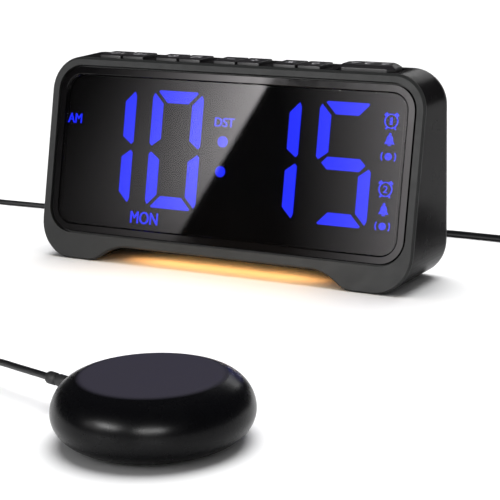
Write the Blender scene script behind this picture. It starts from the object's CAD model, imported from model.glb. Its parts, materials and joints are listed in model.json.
"""Looks of a bed shaker alarm clock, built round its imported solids.

Sizes are written in millimetres and turned into metres where a mesh is placed. The clock's own
frame has its origin on the table under the middle of the clock's back: x goes to the right of
someone who faces the display, y goes from the display to the back, and z is up.
"""

from __future__ import annotations

import json
import logging
import math
from collections.abc import Callable, Iterable, Sequence
from dataclasses import dataclass
from enum import Enum

import bmesh
import bpy
from mathutils import Euler, Matrix, Quaternion, Vector

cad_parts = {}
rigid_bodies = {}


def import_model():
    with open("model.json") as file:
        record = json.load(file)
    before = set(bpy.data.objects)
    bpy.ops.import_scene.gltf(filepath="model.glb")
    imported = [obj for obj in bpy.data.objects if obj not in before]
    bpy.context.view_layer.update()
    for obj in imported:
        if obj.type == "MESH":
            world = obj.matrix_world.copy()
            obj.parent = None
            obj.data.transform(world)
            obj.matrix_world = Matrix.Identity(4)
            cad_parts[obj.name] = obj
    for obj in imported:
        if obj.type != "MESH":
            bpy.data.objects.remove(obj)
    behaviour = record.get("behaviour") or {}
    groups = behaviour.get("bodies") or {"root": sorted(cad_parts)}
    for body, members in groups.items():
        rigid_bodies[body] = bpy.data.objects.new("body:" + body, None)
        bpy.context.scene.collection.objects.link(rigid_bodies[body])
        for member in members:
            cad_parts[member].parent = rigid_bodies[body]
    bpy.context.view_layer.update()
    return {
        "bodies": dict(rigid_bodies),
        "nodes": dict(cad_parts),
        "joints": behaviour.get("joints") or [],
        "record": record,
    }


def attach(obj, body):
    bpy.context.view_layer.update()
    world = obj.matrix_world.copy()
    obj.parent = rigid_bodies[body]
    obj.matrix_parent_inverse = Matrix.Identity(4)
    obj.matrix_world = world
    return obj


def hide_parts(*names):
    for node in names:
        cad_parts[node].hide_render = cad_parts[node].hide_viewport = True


LOG = logging.getLogger("bed_shaker_clock")
MM = 0.001
Point2 = tuple[float, float]
Point3 = tuple[float, float, float]
Place = Callable[[float, float], Vector]
Object = bpy.types.Object
Socket = bpy.types.NodeSocket
Verts = list[bmesh.types.BMVert]
Inputs = dict[str | int, object]


class Body(Enum):
    """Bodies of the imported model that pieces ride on, besides the keys' own."""

    CLOCK = "clock"
    DOOR = "battery_door"


class Slot(Enum):
    """Material slots of the record that new pieces take."""

    FRAME = "charcoal_frame"
    RIM = "gloss_rim"
    WINDOW = "smoked_window"
    LIT = "blue_light"
    SHELL = "shell_black"
    KEY = "key_black"
    COMPONENT = "component_black"
    WHITE = "white_plastic"
    STEEL = "steel"
    BRASS = "brass"
    RUBBER = "rubber_black"
    CORD = "cord_black"
    PUCK = "puck_satin"


# ---- Finishes ----------------------------------------------------------------------------------


def linear(colour: Sequence[float]) -> tuple[float, float, float, float]:
    """Turn a display colour into the renderer's linear colour.

    Args:
        colour: Red, green and blue as the screen shows them, 0 to 255.

    Returns:
        The linear colour with an alpha of 1.
    """
    parts = [c / 255 for c in colour]
    red, green, blue = (c / 12.92 if c <= 0.04045 else ((c + 0.055) / 1.055) ** 2.4 for c in parts)
    return red, green, blue, 1.0


def shade(colour: Sequence[float], factor: float) -> tuple[float, float, float, float]:
    """Make a linear colour darker or lighter, up to full."""
    red, green, blue = (min(c * factor, 1.0) for c in colour[:3])
    return red, green, blue, 1.0


class Graph:
    """A node graph of a material or of the world, filled node by node."""

    def __init__(self, name: str, store: str = "materials") -> None:
        """Start with an empty graph.

        Args:
            name: The material's or world's name.
            store: The collection that it is made in.
        """
        self.owner = getattr(bpy.data, store).new(name)
        self.owner.use_nodes = True
        self.tree = self.owner.node_tree
        self.tree.nodes.clear()

    def add(self, kind: str, inputs: Inputs | None = None, **settings: object) -> bpy.types.Node:
        """Add a node.

        Args:
            kind: The node's type name.
            inputs: For each input, a socket to link or a constant.
            settings: Attributes to set on the node.

        Returns:
            The node.
        """
        node = self.tree.nodes.new(kind)
        for key, value in settings.items():
            setattr(node, key, value)
        for key, value in (inputs or {}).items():
            if isinstance(value, Socket):
                self.tree.links.new(value, node.inputs[key])
            else:
                node.inputs[key].default_value = value
        return node

    def places(self) -> Socket:
        """Return the piece's own coordinates."""
        return self.add("ShaderNodeTexCoord").outputs["Object"]

    def noise(self, scale: float, detail: float = 2.0, stretch: Point3 = (1, 1, 1)) -> Socket:
        """Add noise on the piece's own coordinates.

        Args:
            scale: Cells per metre.
            detail: Octaves of the noise.
            stretch: Scale of the coordinates along x, y and z.

        Returns:
            The noise's value.
        """
        places = self.add("ShaderNodeMapping", {"Vector": self.places(), "Scale": stretch})
        inputs = {"Vector": places.outputs["Vector"], "Scale": scale, "Detail": detail}
        return self.add("ShaderNodeTexNoise", inputs).outputs["Fac"]

    def ramp(self, value: Socket, ends: Point2 = (0.3, 0.7), to: Point2 = (0.0, 1.0),
             smooth: bool = False) -> Socket:
        """Spread a range of a value over two limits.

        Args:
            value: The value. Noise mostly lies from 0.3 to 0.7.
            ends: The range's two ends.
            to: What the ends become.
            smooth: Whether the value eases in and out.

        Returns:
            The spread value.
        """
        inputs = {"Value": value, "From Min": ends[0], "From Max": ends[1], "To Min": to[0], "To Max": to[1]}
        kind = "SMOOTHSTEP" if smooth else "LINEAR"
        return self.add("ShaderNodeMapRange", inputs, interpolation_type=kind).outputs["Result"]

    def blend(self, factor: Socket, first: object, second: object, kind: str = "RGBA") -> Socket:
        """Blend two colours or numbers by a factor.

        Args:
            factor: 0 gives the first and 1 the second.
            first: A socket or a constant.
            second: A socket or a constant.
            kind: RGBA for colours and FLOAT for numbers.

        Returns:
            The blended value.
        """
        low, high, out = (6, 7, 2) if kind == "RGBA" else (2, 3, 0)
        return self.add("ShaderNodeMix", {0: factor, low: first, high: second}, data_type=kind).outputs[out]

    def maths(self, kind: str, first: Socket, second: Socket | float) -> Socket:
        """Combine two numbers by one operation."""
        return self.add("ShaderNodeMath", {0: first, 1: second}, operation=kind).outputs[0]

    def surface(self, kind: str, inputs: Inputs) -> bpy.types.Material:
        """Close a material's graph with its shader.

        Args:
            kind: The shader's type name.
            inputs: For each input, a socket to link or a constant.

        Returns:
            The material.
        """
        self.add("ShaderNodeOutputMaterial", {"Surface": self.add(kind, inputs).outputs[0]})
        return self.owner


@dataclass(frozen=True)
class Cap:
    """A colour and roughness that take over between two heights, in millimetres."""

    colour: Point3
    roughness: float
    start: float
    end: float


@dataclass(frozen=True)
class Moulded:
    """A moulded, rubber or metal finish with fine grain, slow colour drift and uneven gloss."""

    name: str
    colour: Point3
    roughness: float
    metallic: float = 0.0
    specular: float = 0.5
    grain: float = 0.06
    grain_size: float = 0.35
    grain_depth: float = 0.1
    drift: float = 0.08
    drift_cells: float = 90.0
    gloss_drift: float = 0.05
    gloss_cells: float = 160.0
    stretch: Point3 = (1.0, 1.0, 1.0)
    cap: Cap | None = None

    def over_cap(self, graph: Graph, low: Socket, high: Sequence[float] | float, kind: str) -> Socket:
        """Blend a value over to the cap's own, by height.

        Args:
            graph: The material's graph.
            low: The value below the cap.
            high: The value on the cap.
            kind: RGBA for colours and FLOAT for numbers.

        Returns:
            The blended value.
        """
        height = graph.add("ShaderNodeSeparateXYZ", {"Vector": graph.places()}).outputs["Z"]
        share = graph.ramp(height, (self.cap.start * MM, self.cap.end * MM), smooth=True)
        return graph.blend(share, low, high, kind)

    def material(self) -> bpy.types.Material:
        """Build the finish.

        Returns:
            The material.
        """
        graph = Graph(self.name)
        tone = linear(self.colour)
        slow = graph.ramp(graph.noise(self.drift_cells, 3.0))
        base = graph.blend(slow, shade(tone, 1 - self.drift), shade(tone, 1 + self.drift))
        limits = (self.roughness - self.gloss_drift, self.roughness + self.gloss_drift)
        rough = graph.ramp(graph.noise(self.gloss_cells, 4.0, self.stretch), to=limits)
        if self.cap:
            base = self.over_cap(graph, base, linear(self.cap.colour), "RGBA")
            rough = self.over_cap(graph, rough, self.cap.roughness, "FLOAT")
        grain = graph.noise(1 / (self.grain_size * MM), 2.0, self.stretch)
        inputs = {"Height": grain, "Strength": self.grain, "Distance": self.grain_depth * MM}
        bump = graph.add("ShaderNodeBump", inputs)
        return graph.surface("ShaderNodeBsdfPrincipled", {
            "Base Color": base, "Roughness": rough, "Normal": bump.outputs["Normal"],
            "Metallic": self.metallic, "Specular IOR Level": self.specular,
        })


@dataclass(frozen=True)
class Smoked:
    """Tinted window sheet: dark, polished and half see-through."""

    name: str
    colour: Point3
    alpha: float
    roughness: float
    drift: float = 0.15
    drift_cells: float = 40.0
    gloss_cells: float = 60.0
    ior: float = 1.62
    def material(self) -> bpy.types.Material:
        """Build the finish.

        Returns:
            The material.
        """
        graph = Graph(self.name)
        tone = linear(self.colour)
        limits = (self.roughness * (1 - self.drift), self.roughness * (1 + self.drift))
        slow = graph.ramp(graph.noise(self.drift_cells))
        return graph.surface("ShaderNodeBsdfPrincipled", {
            "Base Color": graph.blend(slow, tone, shade(tone, 1 + self.drift)),
            "Roughness": graph.ramp(graph.noise(self.gloss_cells), to=limits),
            "Alpha": self.alpha, "IOR": self.ior,
        })


@dataclass(frozen=True)
class Lit:
    """A lit surface whose brightness drifts a little over the piece."""

    name: str
    colour: Point3
    strength: float
    drift: float = 0.08
    scale: float = 60.0

    def material(self) -> bpy.types.Material:
        """Build the finish.

        Returns:
            The material.
        """
        graph = Graph(self.name)
        tone = linear(self.colour)
        glow = graph.blend(graph.ramp(graph.noise(self.scale)), shade(tone, 1 - self.drift), tone)
        return graph.surface("ShaderNodeBsdfPrincipled", {
            "Base Color": glow, "Emission Color": glow, "Emission Strength": self.strength, "Roughness": 0.5,
        })


class Palette:
    """Every finish of the clock, made once and handed out by name."""

    FINISHES = {
        "frame": Moulded("charcoal moulding", (35, 36, 36), 0.55, specular=0.3, grain=0.22, grain_size=0.3,
                         drift=0.05),
        "shell": Moulded("satin shell", (20, 19, 20), 0.25, specular=0.03, grain=0.04, grain_size=0.5,
                         gloss_drift=0.03),
        "back": Moulded("fine grained back", (42, 41, 43), 0.48, specular=0.3, grain=0.2, grain_size=0.4,
                        drift=0.06),
        "rim": Moulded("polished rim", (14, 13, 14), 0.07, grain=0.0, gloss_drift=0.02, specular=0.4),
        "window": Smoked("smoked window", (6, 5, 6), 0.4, 0.022),
        "display": Moulded("display black", (8, 8, 9), 0.85, grain=0.0, specular=0.15),
        "digits": Lit("blue segments", (16, 34, 255), 2.75, 0.04),
        "key": Moulded("key black", (29, 27, 30), 0.42, grain=0.1, grain_size=0.4),
        "print": Moulded("white print", (168, 166, 170), 0.55, grain=0.05),
        "diffuser": Lit("milky diffuser", (255, 214, 140), 0.9, 0.2, 150.0),
        "board": Moulded("solder mask", (24, 82, 48), 0.4, grain=0.15, grain_size=1.2, drift=0.2),
        "component": Moulded("component black", (26, 26, 28), 0.45),
        "white": Moulded("white plastic", (214, 214, 216), 0.5),
        "steel": Moulded("plated steel", (190, 192, 196), 0.28, metallic=1.0, grain=0.08, stretch=(1, 12, 1)),
        "screw": Moulded("blackened screw", (58, 58, 62), 0.35, metallic=1.0),
        "brass": Moulded("turned brass", (186, 148, 82), 0.3, metallic=1.0, stretch=(8, 1, 1)),
        "rubber": Moulded("soft rubber", (22, 22, 23), 0.62, grain=0.25, grain_size=0.5),
        "cord": Moulded("cord jacket", (20, 20, 22), 0.4, grain=0.1, grain_size=0.6),
        "puck": Moulded("soft touch shell", (8, 8, 10), 0.27, specular=0.12, grain=0.02, grain_size=0.25,
                        drift=0.06, gloss_drift=0.02, cap=Cap((44, 42, 51), 0.62, 24.1, 24.68)),
        "adapter": Moulded("adapter black", (27, 27, 29), 0.38, grain=0.2, grain_size=0.5),
        "cone": Moulded("paper cone", (26, 26, 27), 0.8, grain=0.4, grain_size=0.8),
    }

    def __init__(self) -> None:
        """Build every finish."""
        self.made = {name: finish.material() for name, finish in self.FINISHES.items()}

    def dress(self, obj: Object, finish: str) -> None:
        """Give an object one finish on all its material slots.

        Args:
            obj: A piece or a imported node.
            finish: A key of FINISHES.
        """
        material = self.made[finish]
        if not obj.material_slots:
            obj.data.materials.append(material)
        for place in obj.material_slots:
            place.material = material


# ---- Places ------------------------------------------------------------------------------------


@dataclass(frozen=True)
class ClockPlace:
    """Where the clock stands in the shared frame, and how its face leans."""

    x: float = -16.1
    back: float = 148.45
    base_depth: float = 46.7
    lean: float = math.radians(12.6)

    def at(self, x: float, y: float, z: float) -> Vector:
        """Return the shared frame's point, in metres, of a point in the clock's own frame."""
        return Vector((self.x + x, self.back + y, z)) * MM

    def face(self, x: float, t: float, n: float) -> Vector:
        """Place a point on the leaning face.

        Args:
            x: Distance to the right of the middle.
            t: Distance up the slope from the table.
            n: Distance out of the face.

        Returns:
            The point in the shared frame, in metres.
        """
        sine, cosine = math.sin(self.lean), math.cos(self.lean)
        return self.at(x, -self.base_depth + t * sine - n * cosine, t * cosine + n * sine)

    def slope(self, x: float, z: float, n: float) -> Vector:
        """Place a point of the side outline on a plane along the face.

        Args:
            x: Distance to the right of the middle.
            z: Height above the table.
            n: Distance of the plane out of the face.

        Returns:
            The point in the shared frame, in metres.
        """
        return self.face(x, (z - n * math.sin(self.lean)) / math.cos(self.lean), n)


CLOCK = ClockPlace()
PUCK_CENTRE = Vector((83.8, -110.65, 0.0)) * MM


# ---- Objects and lights ------------------------------------------------------------------------


def linked(name: str, data: bpy.types.ID) -> Object:
    """Put new data into the scene as an object."""
    obj = bpy.data.objects.new(name, data)
    bpy.context.scene.collection.objects.link(obj)
    return obj


def meshed(bm: bmesh.types.BMesh, name: str) -> Object:
    """Turn a mesh under work into an object in the scene."""
    mesh = bpy.data.meshes.new(name)
    bm.to_mesh(mesh)
    bm.free()
    return linked(name, mesh)


def area(name: str, size: Point2, power: float, colour: Point3 = (255, 255, 255)) -> bpy.types.Light:
    """Make a soft area light.

    Args:
        name: The light's name.
        size: Its width and depth in metres.
        power: Its power in watts.
        colour: Its colour as the screen shows it, 0 to 255.

    Returns:
        The light.
    """
    light = bpy.data.lights.new(name, "AREA")
    light.shape = "RECTANGLE"
    light.size, light.size_y = size
    light.energy = power
    light.color = linear(colour)[:3]
    return light


def hang(light: bpy.types.Light, place: Sequence[float], turn: Quaternion, gloss: bool = False) -> None:
    """Put a light in the scene.

    Args:
        light: The light.
        place: Where it hangs, in metres.
        turn: How it is turned from pointing straight down.
        gloss: True for a light that only gloss shows, False for one that gloss doesn't show.
    """
    lamp = linked(light.name, light)
    lamp.location = place
    lamp.rotation_mode = "QUATERNION"
    lamp.rotation_quaternion = turn
    lamp.visible_diffuse = not gloss
    lamp.visible_glossy = gloss


# ---- Mesh work ---------------------------------------------------------------------------------
def rounded(corners: Sequence[Point3], segments: int = 12) -> list[Point2]:
    """Round the corners of a flat outline.

    Args:
        corners: Each corner's two coordinates and how far its rounding reaches along its sides.
        segments: Segments of each rounding.

    Returns:
        The rounded outline's points in order.
    """
    bm = bmesh.new()
    verts = [bm.verts.new((a, b, 0.0)) for a, b, _ in corners]
    bm.faces.new(verts)
    reach = {vert: corner[2] for vert, corner in zip(verts, corners)}
    for amount in sorted(set(reach.values())):
        if amount > 0:
            bmesh.ops.bevel(
                bm, geom=[v for v, r in reach.items() if r == amount], offset=amount, affect="VERTICES",
                segments=segments, profile=0.5, material=-1,
            )
    bm.faces.ensure_lookup_table()
    points = [(loop.vert.co.x, loop.vert.co.y) for loop in bm.faces[0].loops]
    bm.free()
    first = min(range(len(points)), key=lambda i: math.dist(points[i], corners[0][:2]))
    return points[first:] + points[:first]


class Blank:
    """A mesh under work, made of loops that are bridged and filled."""

    def __init__(self) -> None:
        """Start with an empty mesh."""
        self.bm = bmesh.new()

    def loop(self, outline: Iterable[Point2], place: Place) -> Verts:
        """Lay an outline into the mesh as a closed loop of vertices.

        Args:
            outline: The outline's points in order.
            place: Turns an outline point into a point of the shared frame.

        Returns:
            The loop's vertices in order.
        """
        verts = [self.bm.verts.new(place(a, b)) for a, b in outline]
        for i, vert in enumerate(verts):
            self.bm.edges.new((verts[i - 1], vert))
        return verts

    def bridge(self, *loops: Verts) -> None:
        """Join each loop to the next one, vertex to vertex."""
        for first, second in zip(loops, loops[1:]):
            for i in range(len(first)):
                self.bm.faces.new((first[i - 1], first[i], second[i], second[i - 1]))

    def fill(self, *loops: Verts) -> None:
        """Fill one flat loop, or the flat band between two."""
        if len(loops) == 1:
            self.bm.faces.new(loops[0])
            return
        edges = [self.bm.edges.get((ring[i - 1], ring[i])) for ring in loops for i in range(len(ring))]
        bmesh.ops.triangle_fill(self.bm, use_beauty=True, use_dissolve=False, edges=edges)

    def block(self, low: Sequence[float], high: Sequence[float]) -> Verts:
        """Add a box between two corners of the clock's own frame.

        Args:
            low: Lowest corner.
            high: Highest corner.

        Returns:
            The box's vertices.
        """
        start, end = CLOCK.at(*low), CLOCK.at(*high)
        size = end - start
        matrix = Matrix.Translation((start + end) / 2) @ Matrix.Diagonal((size.x, size.y, size.z, 1))
        return bmesh.ops.create_cube(self.bm, size=1.0, matrix=matrix)["verts"]

    def spin(self, profile: Sequence[Point2], matrix: Matrix, steps: int = 64) -> None:
        """Turn a profile round the z axis, then place it.

        Args:
            profile: Radius and height of each point, in millimetres.
            matrix: Where the turned shape goes.
            steps: Steps of the full turn.
        """
        verts = [self.bm.verts.new((r * MM, 0.0, z * MM)) for r, z in profile]
        edges = [self.bm.edges.new(pair) for pair in zip(verts, verts[1:])]
        bmesh.ops.spin(
            self.bm, geom=[*verts, *edges], cent=(0, 0, 0), axis=(0, 0, 1), angle=2 * math.pi, steps=steps,
            use_merge=True, use_duplicate=False,
        )
        bmesh.ops.remove_doubles(self.bm, verts=self.bm.verts[:], dist=1e-6)
        bmesh.ops.transform(self.bm, matrix=matrix, verts=self.bm.verts[:])

    def finish(self, name: str, sharp: float = 35.0) -> Object:
        """Turn the mesh into an object with smooth faces and sharp edges.

        Args:
            name: The object's name.
            sharp: Edges that bend more than this many degrees stay sharp.

        Returns:
            The object, with its place in its mesh.
        """
        bmesh.ops.recalc_face_normals(self.bm, faces=self.bm.faces[:])
        obj = meshed(self.bm, name)
        for polygon in obj.data.polygons:
            polygon.use_smooth = True
        obj.data.set_sharp_from_angle(angle=math.radians(sharp))
        return obj


def soften(obj: Object, width: float, segments: int = 2, angle: float = 40.0) -> Object:
    """Round an object's sharp edges with a Bevel modifier.

    Args:
        obj: The object.
        width: Width of the rounding in millimetres.
        segments: Segments of the rounding.
        angle: Edges that bend more than this many degrees are rounded.

    Returns:
        The object.
    """
    bevel = obj.modifiers.new("soft edges", "BEVEL")
    bevel.width = width * MM
    bevel.segments = segments
    bevel.limit_method = "ANGLE"
    bevel.angle_limit = math.radians(angle)
    bevel.harden_normals = True
    return obj


class Bench:
    """Takes finished pieces: dresses them, sets them on their bodies and reports them."""

    def __init__(self, frame: dict[str, object], palette: Palette) -> None:
        """Keep the frame and the finishes.

        Args:
            palette: The finishes.
        """
        self.nodes = frame["nodes"]
        self.palette = palette

    def set_piece(self, obj: Object, finish: str, replaces: Sequence[str] = (),
                  body: str = Body.CLOCK.value) -> Object:
        """Dress a new piece and set it on its body.

        Args:
            obj: The piece.
            finish: Name of its finish.
            replaces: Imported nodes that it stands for.
            body: The body it rides on.

        Returns:
            The piece.
        """
        self.palette.dress(obj, finish)
        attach(obj, body)
        if replaces:
            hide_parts(*replaces)
        LOG.info("piece %s on %s for %s", obj.name, body, ", ".join(replaces) or "nothing")
        return obj

    def dress_nodes(self, **finishes: str) -> None:
        """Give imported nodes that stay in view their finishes."""
        for node, finish in finishes.items():
            self.palette.dress(self.nodes[node], finish)

    def set_copy(self, node: str, name: str, slot: Slot, finish: str, edge: float, segments: int = 2,
                 angle: float = 40.0, sharp: float = 35.0, body: str = Body.CLOCK.value) -> Object:
        """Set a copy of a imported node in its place, its flats joined and its edges softened.

        Args:
            node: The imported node.
            name: Name of the copy.
            slot: The record's slot it takes its finish from.
            finish: Name of its finish.
            edge: Width of the rounding of its edges in millimetres.
            segments: Segments of the rounding.
            angle: Edges that bend more than this many degrees are rounded.
            sharp: Edges that bend more than this many degrees stay sharp.
            body: The body it rides on.

        Returns:
            The copy.
        """
        blank = Blank()
        blank.bm.from_mesh(self.nodes[node].data)
        bmesh.ops.remove_doubles(blank.bm, verts=blank.bm.verts[:], dist=2e-6)
        bmesh.ops.dissolve_limit(
            blank.bm, angle_limit=math.radians(0.6), use_dissolve_boundaries=False,
            verts=blank.bm.verts[:], edges=blank.bm.edges[:], delimit=set(),
        )
        piece = soften(blank.finish(name, sharp), edge, segments, angle)
        return self.set_piece(piece, finish, [node], body)


# ---- Clock housing -----------------------------------------------------------------------------


@dataclass
class Housing:
    """Front frame, deep shell, rear cover and feet."""

    half_w: float = 105.5
    height: float = 101.5
    foot_r: float = 19.0
    top_r: float = 17.0
    arch_h: float = 8.2
    arch_low: float = 71.55
    arch_high: float = 59.45
    chamfer: float = 1.0
    plate: float = 1.8
    collar_depth: float = 5.0
    collar_wall: float = 0.8
    ledge: float = -3.4
    ledge_inset: float = 5.3
    open_half_w: float = 101.2
    sill: float = 13.5
    open_top: float = 100.104
    open_r: float = 13.5

    def outline(self, inset: float) -> list[Point2]:
        """Return the frame's outline with its arch, drawn in by an inset."""
        w, i = self.half_w, inset
        low, high = self.arch_low + 0.306 * i, self.arch_high + 0.306 * i
        foot, top = self.foot_r - i, self.top_r - i
        return rounded([
            (-w + i, i, foot), (-low, i, 3.6), (-high, self.arch_h + i, 6.4),
            (high, self.arch_h + i, 6.4), (low, i, 3.6), (w - i, i, foot),
            (w - i, self.height - i, top), (-w + i, self.height - i, top),
        ])

    def opening(self, inset: float) -> list[Point2]:
        """Return the opening's outline on the face, drawn in by an inset."""
        w, r = self.open_half_w - inset, self.open_r - inset
        low, high = self.sill + inset, self.open_top - inset
        return rounded([(-w, low, r), (w, low, r), (w, high, r), (-w, high, r)])

    def front_frame(self) -> Object:
        """Build the face frame: chamfered plate, opening, ledge and collar.

        Returns:
            The frame.
        """
        blank = Blank()

        def outer(inset: float, n: float) -> Verts:
            return blank.loop(self.outline(inset), lambda x, z: CLOCK.slope(x, z, n))

        def inner(inset: float, n: float) -> Verts:
            return blank.loop(self.opening(inset), lambda x, t: CLOCK.face(x, t, n))

        face = outer(self.chamfer, 0.0)
        back = outer(0.0, -self.plate)
        blank.bridge(face, outer(0.0, -self.chamfer), back)
        mouth = inner(0.0, 0.0)
        collar = inner(-self.collar_wall, -self.plate)
        blank.bridge(
            mouth, inner(0.0, self.ledge), inner(self.ledge_inset, self.ledge),
            inner(self.ledge_inset, -self.collar_depth), inner(-self.collar_wall, -self.collar_depth), collar,
        )
        blank.fill(face, mouth)
        blank.fill(back, collar)
        return soften(blank.finish("front_frame_moulding"), 0.22, 2, 30.0)

    def build(self, bench: Bench) -> None:
        """Build and set the housing's pieces."""
        bench.set_piece(self.front_frame(), "frame", ["front_frame"])
        bench.set_copy("body_shell", "shell_moulding", Slot.SHELL, "shell", 0.25)
        bench.set_copy("rear_cover", "rear_moulding", Slot.SHELL, "back", 0.2, 2, 45.0, 30.0)
        bench.dress_nodes(foot_pads="rubber", housing_screws="screw", main_board="board",
                          board_screws="steel", board_cable="white")


# ---- Display -----------------------------------------------------------------------------------


class Marks:
    """Flat marks of bars, discs, rings and words, laid on a plane and made one mesh."""

    def __init__(self, place: Callable[[float, float, float], Vector], thickness: float) -> None:
        """Start an empty set of marks.

        Args:
            place: Turns a mark's flat coordinates and height into a point of the shared frame.
            thickness: Thickness of the marks in millimetres.
        """
        self.place = place
        self.thickness = thickness
        self.bm = bmesh.new()

    def shape(self, points: Sequence[Point2]) -> None:
        """Add a flat shape from its corners."""
        self.bm.faces.new([self.bm.verts.new((a, b, 0.0)) for a, b in points])

    def bar(self, x: float, y: float, length: float, width: float, turn: float = 0.0) -> None:
        """Add a bar.

        Args:
            x: Middle of the bar.
            y: Middle of the bar.
            length: Length along its own line.
            width: Width across it.
            turn: Degrees that its line is turned by.
        """
        matrix = Matrix.Translation((x, y, 0)) @ Matrix.Rotation(math.radians(turn), 4, "Z")
        matrix = matrix @ Matrix.Diagonal((length, width, 1, 1))
        bmesh.ops.create_grid(self.bm, x_segments=1, y_segments=1, size=0.5, matrix=matrix)

    def disc(self, x: float, y: float, radius: float) -> None:
        """Add a disc."""
        place = Matrix.Translation((x, y, 0))
        bmesh.ops.create_circle(self.bm, cap_ends=True, segments=24, radius=radius, matrix=place)

    def ring(self, x: float, y: float, radius: float, width: float, start: float = 0.0,
             sweep: float = 360.0) -> None:
        """Add a ring or an arc.

        Args:
            x: Middle of the ring.
            y: Middle of the ring.
            radius: Outer radius.
            width: Width of the line.
            start: Angle where an arc starts, in degrees.
            sweep: Angle that it covers.
        """
        begin = Matrix.Rotation(math.radians(start), 4, "Z")
        verts = [self.bm.verts.new(begin @ Vector((radius - offset, 0, 0))) for offset in (width, 0.0)]
        edge = self.bm.edges.new(verts)
        full = abs(sweep) >= 360
        made = bmesh.ops.spin(
            self.bm, geom=[*verts, edge], cent=(0, 0, 0), axis=(0, 0, 1), angle=math.radians(sweep), steps=28,
            use_merge=full, use_duplicate=False,
        )["geom_last"]
        seen = {*verts, *(g for g in made if isinstance(g, bmesh.types.BMVert))}
        grown = set(seen)
        while grown:
            grown = {e.other_vert(v) for v in grown for e in v.link_edges} - seen
            seen |= grown
        bmesh.ops.translate(self.bm, vec=(x, y, 0), verts=list(seen))

    def word(self, text: str, x: float, y: float, height: float, width: float) -> None:
        """Add a word or number, fitted to a height and a width.

        Args:
            text: The word.
            x: Its middle.
            y: Its middle.
            height: Height of its capitals.
            width: Width of the whole word.
        """
        curve = bpy.data.curves.new("word", "FONT")
        curve.body = text
        curve.align_x = "CENTER"
        curve.align_y = "CENTER"
        holder = linked("word", curve)
        bpy.context.view_layer.update()
        mesh = bpy.data.meshes.new_from_object(holder.evaluated_get(bpy.context.evaluated_depsgraph_get()))
        spans = [[v.co[i] for v in mesh.vertices] for i in (0, 1)]
        scale = (width / (max(spans[0]) - min(spans[0])), height / (max(spans[1]) - min(spans[1])))
        middle = Vector([(max(s) + min(s)) / 2 for s in spans] + [0.0])
        fitted = Matrix.Diagonal((*scale, 0, 1)) @ Matrix.Translation(-middle)
        mesh.transform(Matrix.Translation((x, y, 0)) @ fitted)
        self.bm.from_mesh(mesh)
        bpy.data.objects.remove(holder)
        bpy.data.meshes.remove(mesh)

    def finish(self, name: str) -> Object:
        """Give the marks their thickness and their place.

        Args:
            name: The object's name.

        Returns:
            The marks as one object.
        """
        bmesh.ops.recalc_face_normals(self.bm, faces=self.bm.faces[:])
        made = bmesh.ops.extrude_face_region(self.bm, geom=self.bm.faces[:])["geom"]
        raised = {g for g in made if isinstance(g, bmesh.types.BMVert)}
        for vert in self.bm.verts:
            vert.co = self.place(vert.co.x, vert.co.y, self.thickness if vert in raised else 0.0)
        bmesh.ops.recalc_face_normals(self.bm, faces=self.bm.faces[:])
        return meshed(self.bm, name)


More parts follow.
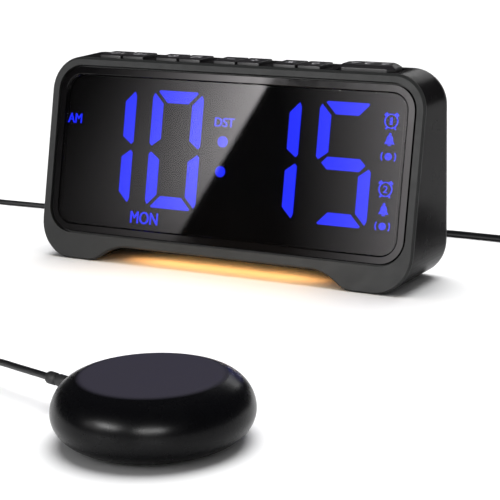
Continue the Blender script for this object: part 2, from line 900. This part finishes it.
@dataclass
class Display:
    """Stepped rim, smoked window, and the lit segments and marks behind it."""

    housing: Housing
    rim_profile: tuple[Point2, ...] = (
        (1.0, -3.4), (1.0, -0.85), (1.05, -0.7), (1.2, -0.6), (4.3, -0.6), (4.4, -0.7),
        (4.4, -1.4), (5.3, -2.6), (5.3, -3.4),
    )
    window_inset: float = 4.9
    window_top: float = -0.8
    window_back: float = -1.9
    mark_back: float = -2.6
    mark_x: float = 87.7
    line: float = 0.5

    def rim(self) -> Object:
        """Build the glossy rim as a loft round the opening."""
        blank = Blank()
        loops = [
            blank.loop(self.housing.opening(inset), lambda x, t, n=n: CLOCK.face(x, t, n))
            for inset, n in self.rim_profile
        ]
        blank.bridge(*loops, loops[0])
        return blank.finish("lens_rim_moulding", 20.0)

    def window(self) -> Object:
        """Build the window sheet with softened edges."""
        blank = Blank()
        outline = self.housing.opening(self.window_inset)
        front, back = (
            blank.loop(outline, lambda x, t, n=n: CLOCK.face(x, t, n))
            for n in (self.window_top, self.window_back)
        )
        blank.bridge(front, back)
        blank.fill(front)
        blank.fill(back)
        return soften(blank.finish("window_sheet"), 0.15, 2)

    def clock_sign(self, marks: Marks, t: float, number: str) -> None:
        """Add a small alarm clock with a number: dial, two bells and two feet."""
        x = self.mark_x
        marks.ring(x, t, 3.55, self.line)
        marks.word(number, x, t, 3.4, 1.15 if number == "1" else 2.1)
        for side in (-1, 1):
            marks.bar(x + side * 2.75, t + 3.1, 1.8, 1.2, side * -45)
            marks.bar(x + side * 2.3, t - 3.45, 1.0, 0.7, side * -50)

    def bell_sign(self, marks: Marks, t: float) -> None:
        """Add a small bell."""
        x = self.mark_x
        side = ((2.65, -2.0), (2.1, -1.2), (1.65, -0.5), (1.55, 0.8), (1.2, 1.6), (0.6, 2.1))
        marks.shape([(x + a, t + b) for a, b in side] + [(x - a, t + b) for a, b in reversed(side)])
        marks.disc(x, t + 2.7, 0.6)
        marks.bar(x, t - 2.5, 1.5, 0.6)

    def shake_sign(self, marks: Marks, t: float) -> None:
        """Add a dot with a curved line at each side."""
        x = self.mark_x
        marks.disc(x, t, 1.75)
        for start in (-31, 149):
            marks.ring(x, t, 3.9, 0.42, start, 62)

    def signs(self) -> Object:
        """Build the column of signs and the small words."""
        marks = Marks(lambda x, t, h: CLOCK.face(x, t, self.mark_back + h), 0.55)
        for number, rows in (("1", (82.0, 73.2, 65.3)), ("2", (49.9, 40.1, 32.4))):
            self.clock_sign(marks, rows[0], number)
            self.bell_sign(marks, rows[1])
            self.shake_sign(marks, rows[2])
        marks.word("AM", -91.4, 72.6, 5.0, 8.4)
        marks.word("DST", -2.2, 75.8, 4.5, 11.1)
        marks.word("MON", -44.6, 24.6, 6.2, 16.2)
        return marks.finish("display_signs")

    def build(self, bench: Bench) -> None:
        """Build and set the display's pieces."""
        bench.set_piece(self.rim(), "rim", ["lens_rim"])
        bench.set_piece(self.window(), "window", ["display_lens"])
        bench.set_piece(self.signs(), "digits", ["status_marks"])
        bench.dress_nodes(time_digits="digits", display_module="display")


# ---- Keys --------------------------------------------------------------------------------------


@dataclass
class KeyRow:
    """Eight small keys in four pairs, the snooze bar, and what lies under them."""

    first_x: float = -78.8
    pitch: float = 33.6
    width: float = 12.6
    gap: float = 0.9
    front: float = -21.912
    back: float = -7.4
    skirt: float = 99.2
    flange: float = 98.2
    top: float = 103.1
    snooze_x: tuple[float, float] = (56.2, 86.2)
    corner_r: float = 0.9
    edge_r: float = 0.55
    corner_cut: float = 3.2
    snooze_wall: float = 103.0
    snooze_slope: float = 2.2
    snooze_top: float = 104.5
    switch_y: float = -13.16
    names: tuple[str, ...] = (
        "alarm_1_key", "alarm_2_key", "time_key", "day_key",
        "minus_key", "plus_key", "dimmer_key", "night_light_key",
    )

    ALARM = (("ring", -1.2, 0.0, 2.3, 0.45), ("bar", -1.2, 0.7, 0.4, 1.4), ("bar", -0.8, 0.0, 1.2, 0.4))
    SIGNS = (
        ALARM,
        ALARM,
        (("ring", 0.0, 0.0, 2.7, 0.5), ("bar", 0.0, 0.8, 0.45, 1.9), ("bar", 0.6, 0.0, 1.6, 0.45)),
        (("bar", 0.0, -2.1, 5.0, 0.45), ("bar", -2.3, 0.0, 0.45, 4.6), ("bar", 0.0, 2.1, 5.0, 0.45),
         ("bar", 2.3, 0.0, 0.45, 4.6), ("bar", 0.0, 1.0, 4.6, 0.5)),
        (("bar", 0.0, 0.0, 4.4, 0.7),),
        (("bar", 0.0, 0.0, 4.4, 0.7), ("bar", 0.0, 0.0, 0.7, 4.4)),
        (("disc", 0.0, 0.0, 1.3), *(
            ("bar", 2.3 * math.cos(math.radians(turn)), 2.3 * math.sin(math.radians(turn)), 1.0, 0.4, turn)
            for turn in range(0, 360, 45)
        )),
        (("ring", 0.0, 0.5, 1.9, 0.45), ("bar", 0.0, -1.9, 1.9, 0.45), ("bar", 0.0, -2.6, 1.3, 0.4)),
    )

    def left(self, index: int) -> float:
        """Return the left edge of a key, counted from 0 along the top."""
        return self.first_x + index // 2 * self.pitch + index % 2 * (self.width + self.gap)

    def under(self, blank: Blank, low_x: float, high_x: float, trim: float) -> None:
        """Add what a key has inside the shell: its flange and the stem over its switch."""
        x, y, half = (low_x + high_x) / 2, self.switch_y, 1.5
        blank.block((low_x, self.front + 2.7, self.flange), (high_x - trim, self.back + 0.99, 99.0))
        blank.block((x - half, y - half, 96.9), (x + half, y + half, self.flange + 0.05))

    def key(self, index: int) -> Object:
        """Build a key cap with rounded corners and a soft upper edge.

        Args:
            index: The key's number along the top.

        Returns:
            The key.
        """
        blank = Blank()
        x = self.left(index)
        verts = blank.block((x, self.front, self.skirt), (x + self.width, self.back, self.top))
        edges = {e for v in verts for e in v.link_edges}
        upright = [e for e in edges if abs(e.verts[0].co.z - e.verts[1].co.z) > MM]
        soft = {"affect": "EDGES", "segments": 4, "profile": 0.5, "material": -1}
        bmesh.ops.bevel(blank.bm, geom=upright, offset=self.corner_r * MM, **soft)
        top = [e for e in blank.bm.edges if all(abs(v.co.z - self.top * MM) < 1e-6 for v in e.verts)]
        bmesh.ops.bevel(blank.bm, geom=top, offset=self.edge_r * MM, **soft)
        self.under(blank, x, x + self.width, 0.0)
        return blank.finish(self.names[index] + "_cap", 40.0)

    def snooze(self) -> Object:
        """Build the snooze bar: cut corners, an upright wall and a broad chamfer to its flat top."""
        blank = Blank()
        low, high = self.snooze_x

        def level(inset: float, z: float, cut: float) -> Verts:
            corners = [
                (low + inset, self.front + 0.6 * inset, cut), (high - inset, self.front + 0.6 * inset, cut),
                (high - inset, self.back - 0.6 * inset, cut), (low + inset, self.back - 0.6 * inset, cut),
            ]
            return blank.loop(rounded(corners, 1), lambda x, y: CLOCK.at(x, y, z))

        base, wall = (level(0.0, z, self.corner_cut) for z in (self.skirt, self.snooze_wall))
        top = level(self.snooze_slope, self.snooze_top, self.corner_cut * 0.9)
        blank.bridge(base, wall, top)
        blank.fill(base)
        blank.fill(top)
        self.under(blank, low, high, 5.0)
        return soften(blank.finish("snooze_bar_cap", 20.0), 0.35, 3, 15.0)

    def print_on(self, top: float) -> Marks:
        """Start a print that is sunk a little into a flat top at a height."""
        return Marks(lambda x, y, h: CLOCK.at(x, y, top - 0.02 + h), 0.05)

    def printed(self, index: int) -> Object:
        """Build the print on a key: its small sign, and the alarm keys' numbers."""
        marks = self.print_on(self.top)
        x, y = self.left(index) + self.width / 2, (self.front + self.back) / 2
        for kind, across, along, *sizes in self.SIGNS[index]:
            getattr(marks, kind)(x + across, y + along, *sizes)
        if index in (0, 1):
            marks.word(str(index + 1), x + 3.0, y, 3.4, 0.9 if index == 0 else 1.9)
        return marks.finish(self.names[index] + "_print")

    def snooze_print(self) -> Object:
        """Build the snooze bar's print: a crescent between two rows of short lines."""
        marks = self.print_on(self.snooze_top)
        x, y = sum(self.snooze_x) / 2, (self.front + self.back) / 2
        marks.ring(x, y, 2.6, 0.9, 60, 240)
        for side in (-1, 1):
            for step, length in enumerate((4.6, 3.4, 2.2)):
                marks.bar(x + side * 8.0, y + 1.8 - 1.8 * step, length, 0.55)
        return marks.finish("snooze_bar_print")

    def build(self, bench: Bench) -> None:
        """Build and set the keys and dress what is under them."""
        for index, name in enumerate(self.names):
            bench.set_piece(self.key(index), "key", [name], name)
            bench.set_piece(self.printed(index), "print", body=name)
        bench.set_piece(self.snooze(), "key", ["snooze_bar"], "snooze_bar")
        bench.set_piece(self.snooze_print(), "print", body="snooze_bar")
        bench.dress_nodes(key_board="board", key_switches="component")


# ---- Night light, sockets and speaker ----------------------------------------------------------


class NightLight:
    """The lit strip over the table between the feet."""

    LAMPS = (
        ("night light", (0.0, -34.0, 7.0), (0.112, 0.006), 30.0, (255, 178, 96), 0.0075),
        ("night light spill", (0.0, -66.0, 42.0), (0.13, 0.026), 0.0, (255, 220, 158), 0.018),
    )

    def build(self, bench: Bench) -> None:
        """Dress the diffuser and its lamps and hang the warm light under it and its spill over the table."""
        bench.dress_nodes(night_light_diffuser="diffuser", night_light_board="board")
        for name, place, size, tilt, colour, power in self.LAMPS:
            turn = Euler((math.radians(-tilt), 0.0, 0.0)).to_quaternion()
            hang(area(name, size, power, colour), CLOCK.at(*place), turn)


class BackPanel:
    """Battery door, sockets, speaker and cell at the clock's back."""

    COPIES = (
        ("battery_door", "door_moulding", Body.DOOR, Slot.SHELL, "back", 0.2),
        ("power_jack", "power_socket", Body.CLOCK, Slot.COMPONENT, "component", 0.12),
        ("shaker_jack", "shaker_socket", Body.CLOCK, Slot.COMPONENT, "component", 0.12),
        ("usb_a_port", "wide_charging_socket", Body.CLOCK, Slot.STEEL, "steel", 0.08),
        ("usb_c_port", "small_charging_socket", Body.CLOCK, Slot.STEEL, "steel", 0.06),
    )

    def build(self, bench: Bench) -> None:
        """Build and set the back's pieces."""
        for node, name, body, slot, finish, edge in self.COPIES:
            bench.set_copy(node, name, slot, finish, edge, angle=45.0, body=body.value)
        bench.dress_nodes(speaker_frame="component", speaker_cone="cone", speaker_magnet="steel",
                          coin_cell_holder="component", coin_cell="steel")


# ---- Shaker ------------------------------------------------------------------------------------


@dataclass
class Shaker:
    """The round shaker with its cover, grip pad and motor."""

    radius: float = 37.8
    height: float = 24.7
    middle: float = 11.3
    top_r: float = 24.3
    base_r: float = 24.0
    hole_r: float = 20.0
    wall: float = 2.0
    steps: int = 20
    relief_turn: float = 165.3

    def side(self, inset: float) -> list[Point2]:
        """Return the points down the shaker's side, drawn in by an inset."""
        points = []
        for i in range(-self.steps, self.steps + 1):
            angle = -math.pi / 2 * i / self.steps
            flat, rise = (self.top_r, self.height - self.middle) if i <= 0 else (self.base_r, self.middle)
            across = flat + (self.radius - flat - inset) * math.cos(angle)
            points.append((across, self.middle + (rise - inset) * math.sin(angle)))
        return points

    def shell(self) -> Object:
        """Turn the shell: outer skin, base opening and inner skin."""
        outer = [(0.0, self.height), (self.top_r * 0.5, self.height), *self.side(0.0)]
        inner = [*reversed(self.side(self.wall)), (0.0, self.height - self.wall)]
        profile = [*outer, (self.hole_r, 0.0), (self.hole_r, self.wall), *inner]
        blank = Blank()
        blank.spin(profile, Matrix.Translation(PUCK_CENTRE), 128)
        return blank.finish("shaker_moulding", 60.0)

    def relief_matrix(self) -> Matrix:
        """Return the matrix from the z axis to the cord outlet's line."""
        turn = Matrix.Rotation(math.radians(self.relief_turn), 4, "Z") @ Matrix.Rotation(math.pi / 2, 4, "Y")
        return Matrix.Translation(PUCK_CENTRE + Vector((0, 0, self.middle * MM))) @ turn

    def relief(self) -> Object:
        """Turn the ribbed cord outlet."""
        r = self.radius
        profile = [(0.0, r - 4.6), (3.4, r - 4.6), (3.4, r - 2.9), (2.0, r - 2.9), (2.0, r + 0.2),
                   (2.3, r + 0.5)]
        for start, end in ((0.6, 2.3), (3.7, 8.9), (10.3, 15.5), (16.9, 21.3)):
            profile += [(1.9, r + start - 0.3), (2.3, r + start), (2.52, r + start + 0.5),
                        (2.52, r + end - 0.5), (2.3, r + end), (1.9, r + end + 0.3)]
        profile = [*profile[:6], *profile[7:-1], (1.7, r + 21.35), (0.0, r + 21.4)]
        blank = Blank()
        blank.spin(profile, self.relief_matrix(), 32)
        return blank.finish("shaker_cord_outlet", 50.0)

    def build(self, bench: Bench) -> Object:
        """Build and set the shaker's pieces.

        Returns:
            The cord outlet, which the cord names as one of its pieces.
        """
        bench.set_piece(self.shell(), "puck", ["shaker_shell"])
        outlet = bench.set_piece(self.relief(), "rubber", ["shaker_strain_relief"])
        bench.set_copy("shaker_base_cover", "shaker_base_moulding", Slot.PUCK, "puck", 0.15)
        bench.dress_nodes(shaker_grip_pad="rubber", motor_cradle="component", shaker_motor="steel",
                          motor_shaft="steel", eccentric_weight="brass", shaker_screws="screw")
        return outlet


# ---- Cords -------------------------------------------------------------------------------------


@dataclass(frozen=True)
class Coil:
    """Turns of cord in four layers that spiral in and out again, in the clock's own frame."""

    at: Point2
    middle_r: float
    turns: float
    start: float
    way: int
    diameter: float
    layers: int = 4
    turn_gap: float = 0.6
    tie: float = 0.6
    rings: int = 32

    def climb(self, turn: float) -> float:
        """Return how many layers are climbed after some turns."""
        per = self.turns / self.layers
        gone = (min(max((turn - last * per) / 0.5 + 0.5, 0.0), 1.0) for last in range(1, self.layers))
        return sum((1 - math.cos(math.pi * share)) / 2 for share in gone)

    def point(self, turn: float) -> Vector:
        """Return the point of the cord's line after some turns."""
        per = self.turns / self.layers
        pitch = self.diameter + self.turn_gap
        layer = min(int(turn / per), self.layers - 1)
        along = turn - layer * per
        radius = self.middle_r + pitch * per / 2 - pitch * (along if layer % 2 == 0 else per - along)
        angle = math.radians(self.start) + self.way * 2 * math.pi * turn
        height = self.tie + 0.05 + self.diameter / 2 + pitch * self.climb(turn)
        return Vector((self.at[0] + radius * math.cos(angle), self.at[1] + radius * math.sin(angle), height))

    def path(self) -> list[Vector]:
        """Return the wound line, with one straight diameter at each end."""
        count = math.ceil(self.turns * self.rings)
        line = [self.point(self.turns * i / count) for i in range(count + 1)]
        before = line[0] - self.diameter * (line[1] - line[0]).normalized()
        after = line[-1] + self.diameter * (line[-1] - line[-2]).normalized()
        return [before, *line, after]


def smooth_route(points: Sequence[Sequence[float]], steps: int = 6) -> list[Vector]:
    """Run one smooth line through hand-chosen points.

    Args:
        points: The points of the route.
        steps: Points of the line per span.

    Returns:
        The line's points.
    """
    p = [Vector(q) for q in points]
    line: list[Vector] = []
    for i in range(len(p) - 1):
        a, b, c, d = p[max(i - 1, 0)], p[i], p[i + 1], p[min(i + 2, len(p) - 1)]
        for k in range(steps):
            t = k / steps
            line.append(0.5 * (
                2 * b + (c - a) * t + (2 * a - 5 * b + 4 * c - d) * t * t + (3 * b - a - 3 * c + d) * t ** 3
            ))
    return [*line, p[-1]]


@dataclass(frozen=True)
class Cord:
    """A cord from its outlet over a coil to its far end, in the clock's own frame."""

    name: str
    diameter: float
    length: float
    coil: Coil
    start: Point3
    to_coil: tuple[Point3, ...]
    from_coil: tuple[Point3, ...]
    end: Point3
    runs: tuple[str, ...]
    plug: tuple[str, str]
    tie: tuple[str, str]

    def curve(self) -> Object:
        """Make the cord as one open curve."""
        wound = self.coil.path()
        line = [*smooth_route([self.start, *self.to_coil, wound[0]])[:-1], *wound,
                *smooth_route([wound[-1], *self.from_coil, self.end])[1:]]
        curve = bpy.data.curves.new(self.name, "CURVE")
        curve.dimensions = "3D"
        curve.bevel_depth = self.diameter / 2 * MM
        curve.bevel_resolution = 3
        curve.use_fill_caps = True
        spline = curve.splines.new("POLY")
        spline.points.add(len(line) - 1)
        for point, place in zip(spline.points, line):
            point.co = (*CLOCK.at(*place), 1.0)
        spline.use_smooth = True
        return linked(self.name, curve)

    def build(self, bench: Bench, *outlets: Object) -> None:
        """Args:
            bench: Where pieces are set.
            outlets: Pieces set before that belong to the cord.
        """
        cord = bench.set_piece(self.curve(), "cord", self.runs)
        plug = bench.set_copy(*self.plug, Slot.RUBBER, "rubber", 0.15)
        tie = bench.set_copy(*self.tie, Slot.CORD, "rubber", 0.15)
        CLOCK.at(*self.start)


SHAKER_CORD = Cord(
    "shaker_cord", 2.8, 1.775, Coil((-132, -112), 15.5, 11.95, 44, 1, 2.8), start=(42.64, -244.08, 11.3),
    to_coil=(
        (36, -242.3, 11.3), (24.4, -239.2, 11.2), (12.7, -235.7, 10.9), (3, -231.4, 8.6), (-6, -226, 5.6),
        (-14.5, -219, 3.2), (-22.5, -210.5, 1.9), (-30.5, -200.5, 1.5), (-39, -188.5, 1.4),
        (-48.5, -174.6, 1.4), (-60, -158.5, 1.5), (-76, -140.2, 1.6), (-92, -123.6, 1.8), (-104, -111.2, 2),
    ),
    from_coil=(
        (-122, -83, 10.4), (-128, -70, 6.6), (-135, -57, 3.2), (-143, -44, 1.6), (-153, -29, 1.4),
        (-164, -15, 1.4), (-177, -2, 1.4), (-191, 9, 1.4), (-204, 19, 1.4), (-213.5, 30, 1.4),
        (-214, 40.5, 1.4), (-206.5, 46, 1.4), (-196, 46.6, 1.4), (-182, 47, 1.4), (-164, 47.6, 1.4),
        (-144, 48, 1.4), (-124, 48.2, 1.4), (-104, 48.3, 1.4), (-86, 48.4, 1.5), (-70, 48.2, 2.2),
        (-57, 47.4, 4.6), (-47.5, 45.4, 9), (-41, 42.4, 14), (-37.2, 38, 18.2),
    ),
    end=(-36, 31.6, 20), runs=("shaker_cord_run", "shaker_cord_coil", "shaker_cord_clock_run"),
    plug=("shaker_plug", "shaker_plug_moulding"), tie=("shaker_cord_tie", "shaker_cord_band"),
)


POWER_LEAD = Cord(
    "power_lead", 3.4, 1.53, Coil((158, 52), 18.7, 11.25, 90, -1, 3.4), start=(40, 31.6, 20),
    to_coil=(
        (40, 36.4, 19.9), (40.2, 41.5, 18.8), (41, 47.5, 15.9), (43, 54, 11.6), (46.6, 61, 7.2),
        (52, 67.8, 3.8), (59, 73, 2.1), (68, 76, 1.7), (80, 76.8, 1.7), (94, 76.6, 1.7), (110, 76.4, 1.8),
        (127, 76.3, 2), (143, 76.3, 2.3),
    ),
    from_coil=(
        (182.6, 43.6, 12.2), (184.4, 35.6, 9.6), (186.8, 27.4, 8.2), (188.8, 19.4, 9.6), (189.8, 12.6, 12.4),
    ),
    end=(190, 10, 13.5), runs=("power_cord_run", "power_cord_coil", "power_cord_adapter_run"),
    plug=("power_plug", "power_plug_moulding"), tie=("power_cord_tie", "power_lead_band"),
)


def build_cords(bench: Bench, outlet: Object) -> None:
    """Build the shaker's cord, and the power lead with its wall adapter.

    Args:
        bench: Where pieces are set.
        outlet: The shaker's cord outlet.
    """
    SHAKER_CORD.build(bench, outlet)
    POWER_LEAD.build(bench)
    bench.set_copy("power_adapter", "adapter_moulding", Slot.COMPONENT, "adapter", 0.8, 3, 50.0)
    bench.set_copy("adapter_prongs", "adapter_blades", Slot.BRASS, "brass", 0.3)


# ---- Studio ------------------------------------------------------------------------------------


@dataclass
class Studio:
    """Camera at the photograph's place, pale floor, soft lights and reflection cards."""

    eye: Point3 = (0.41963, -0.62658, 0.22142)
    forward: Point3 = (-0.4799, 0.8440, -0.2395)
    down: Point3 = (0.0974, -0.2201, -0.9709)
    focal: float = 1773.91
    image: float = 500.0
    sensor: float = 36.0
    shift: Point2 = (-0.0016, 0.0018)
    sky: float = 0.26
    gloss_sky: float = 0.02
    sun_from: Point3 = (-0.1, 0.34, 1.0)
    sun_strength: float = 4.2
    sun_angle: float = 55.0
    card_across: Point2 = (20.0, 440.0)
    card_down: Point2 = (40.0, 280.0)
    card_far: float = 0.9
    card_strength: float = 11.0
    slant: float = 0.338
    wedge_edge: Point2 = (0.64, 0.656)
    wedge_power: float = 3.2
    swell_start: float = 0.12
    rise_start: float = 0.07
    rise_top: float = 1.23
    glow_span: Point2 = (0.6, 0.95)
    glow_top: float = 0.64
    floor_half: float = 6.0
    floor_colour: tuple[float, float, float, float] = (0.9, 0.9, 0.905, 1.0)

    LAMPS = (
        ("front fill", (-0.9, -1.5, 1.0), (0, 0, 0.05), (1.0, 0.9), 3.5, False),
        ("shell glint", (-0.1, 1.25, 0.55), (0.06, 0.14, 0.1), (0.5, 0.22), 1.0, True),
        ("shaker glint left", (-0.4, -1.239, 0.576), (0.089, -0.147, 0.017), (0.6, 0.2), 16.0, True),
        ("shaker glint right", (0.68, -1.169, 0.5), (0.103, -0.142, 0.016), (0.6, 0.2), 14.0, True),
    )

    def axes(self) -> tuple[Vector, Vector, Vector]:
        """Return the camera's right, down and forward directions, square to each other."""
        forward = Vector(self.forward).normalized()
        down = Vector(self.down)
        down = (down - forward * down.dot(forward)).normalized()
        return down.cross(forward), down, forward

    def camera(self) -> None:
        """Make the camera and set it as the scene's own."""
        right, down, forward = self.axes()
        data = bpy.data.cameras.new("camera")
        data.sensor_width = self.sensor
        data.lens = self.focal / self.image * self.sensor
        data.clip_start, data.clip_end = 0.05, 20.0
        data.shift_x, data.shift_y = self.shift
        camera = linked("camera", data)
        basis = Matrix((right, -down, -forward)).transposed()
        camera.matrix_world = Matrix.Translation(self.eye) @ basis.to_4x4()
        bpy.context.scene.camera = camera

    def ray(self, x: float, y: float) -> Vector:
        """Return the direction from the camera through a point of the photograph's frame."""
        right, down, forward = self.axes()
        half = self.image / 2
        return (forward + right * ((x - half) / self.focal) + down * ((y - half) / self.focal)).normalized()

    def mirrored(self, x: float, y: float, distance: float) -> Vector:
        """Return the point that the window shows by reflection at a place in the photograph's frame.

        Args:
            x: Across the frame.
            y: Down the frame.
            distance: How far the point lies in front of the window's plane, in metres.

        Returns:
            The point.
        """
        origin, normal = CLOCK.face(0, 0, -0.8), (CLOCK.face(0, 0, 1) - CLOCK.face(0, 0, 0)).normalized()
        eye, way = Vector(self.eye), self.ray(x, y)
        hit = eye + way * ((origin - eye).dot(normal) / way.dot(normal))
        bounced = way - 2 * way.dot(normal) * normal
        return hit + bounced * (distance / bounced.dot(normal))

    def floor(self) -> None:
        """Lay the pale floor."""
        blank = Blank()
        bmesh.ops.create_grid(blank.bm, x_segments=1, y_segments=1, size=self.floor_half)
        floor = blank.finish("floor")
        pale = {"Base Color": self.floor_colour, "Roughness": 0.5}
        floor.data.materials.append(Graph("pale floor").surface("ShaderNodeBsdfPrincipled", pale))

    def card(self, name: str, points: Sequence[Sequence[Vector]], material: bpy.types.Material) -> None:
        """Hang a card that only reflections show, with its rows of points as its own coordinates.

        Args:
            name: The card's name.
            points: Rows of points from the top down.
            material: Its material.
        """
        bm = bmesh.new()
        rows = [[bm.verts.new(point) for point in row] for row in points]
        sheet = bm.loops.layers.uv.new("card")
        down, across = len(rows) - 1, len(rows[0]) - 1
        for i in range(down):
            for j in range(across):
                corners = ((i, j), (i, j + 1), (i + 1, j + 1), (i + 1, j))
                face = bm.faces.new([rows[a][b] for a, b in corners])
                for loop, (a, b) in zip(face.loops, corners):
                    loop[sheet].uv = (b / across, 1 - a / down)
        card = meshed(bm, name)
        card.data.materials.append(material)
        card.visible_camera = card.visible_diffuse = card.visible_shadow = card.visible_transmission = False

    def window_card(self) -> None:
        """Hang the card that the window reflects: a bright wedge with a clean slanting edge."""
        (left, right), (top, low) = self.card_across, self.card_down
        columns = [left + (right - left) * i / 20 for i in range(21)]
        rows = [top + (low - top) * j / 12 for j in range(13)]
        points = [[self.mirrored(x, y, self.card_far) for x in columns] for y in rows]
        graph = Graph("window card")
        split = graph.add("ShaderNodeSeparateXYZ", {"Vector": graph.add("ShaderNodeUVMap").outputs["UV"]})
        across, up = split.outputs["X"], split.outputs["Y"]
        slanted = graph.maths("ADD", across, graph.ramp(up, (0.0, 1.0), (self.slant, 0.0)))
        edge = graph.ramp(slanted, self.wedge_edge, (1.0, 0.0), True)
        swell = graph.ramp(slanted, (self.swell_start, self.wedge_edge[0]))
        swell = graph.maths("POWER", swell, self.wedge_power)
        rise = graph.ramp(up, (self.rise_start, 1.0), (0.0, self.rise_top))
        wedge = graph.maths("MULTIPLY", graph.maths("MULTIPLY", edge, swell), rise)
        glow = graph.maths("POWER", graph.ramp(across, self.glow_span, (0.0, self.glow_top)), 2.0)
        strength = graph.maths("MULTIPLY", graph.maths("ADD", wedge, glow), self.card_strength)
        shine = {"Color": (1.0, 0.955, 0.97, 1), "Strength": strength}
        self.card("window card", points, graph.surface("ShaderNodeEmission", shine))

    def lights(self) -> None:
        """Hang the wide soft overhead sun and the lamps, and set the world."""
        sun = bpy.data.lights.new("overhead", "SUN")
        sun.energy, sun.angle = self.sun_strength, math.radians(self.sun_angle)
        hang(sun, (0, 0, 0), (-Vector(self.sun_from)).to_track_quat("-Z", "Y"))
        for name, place, target, size, power, gloss in self.LAMPS:
            turn = (Vector(target) - Vector(place)).to_track_quat("-Z", "Y")
            hang(area(name, size, power), place, turn, gloss)
        graph = Graph("studio", "worlds")
        path = graph.add("ShaderNodeLightPath")
        white = (1, 1, 1, 1)
        backdrop = graph.add("ShaderNodeBackground", {"Color": white, "Strength": self.sky})
        for ray, strength in (("Glossy", self.gloss_sky), ("Camera", 1.0), ("Transmission", 1.0)):
            other = graph.add("ShaderNodeBackground", {"Color": white, "Strength": strength})
            inputs = {0: path.outputs[f"Is {ray} Ray"], 1: backdrop.outputs[0], 2: other.outputs[0]}
            backdrop = graph.add("ShaderNodeMixShader", inputs)
        graph.add("ShaderNodeOutputWorld", {"Surface": backdrop.outputs[0]})
        bpy.context.scene.world = graph.owner

    def build(self) -> None:
        """Set up the whole studio."""
        self.camera()
        self.floor()
        self.window_card()
        self.lights()
        bpy.context.scene.view_settings.view_transform = "Standard"


def main() -> None:
    """Build the studio and every sub-assembly in order."""
    logging.basicConfig(level=logging.INFO, format="%(name)s: %(message)s")
    for obj in list(bpy.data.objects):
        bpy.data.objects.remove(obj)
    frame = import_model()
    Studio().build()
    bench = Bench(frame, Palette())
    outlet = Shaker().build(bench)
    build_cords(bench, outlet)
    housing = Housing()
    housing.build(bench)
    Display(housing).build(bench)
    KeyRow().build(bench)
    NightLight().build(bench)
    BackPanel().build(bench)


if __name__ == "__main__":
    main()
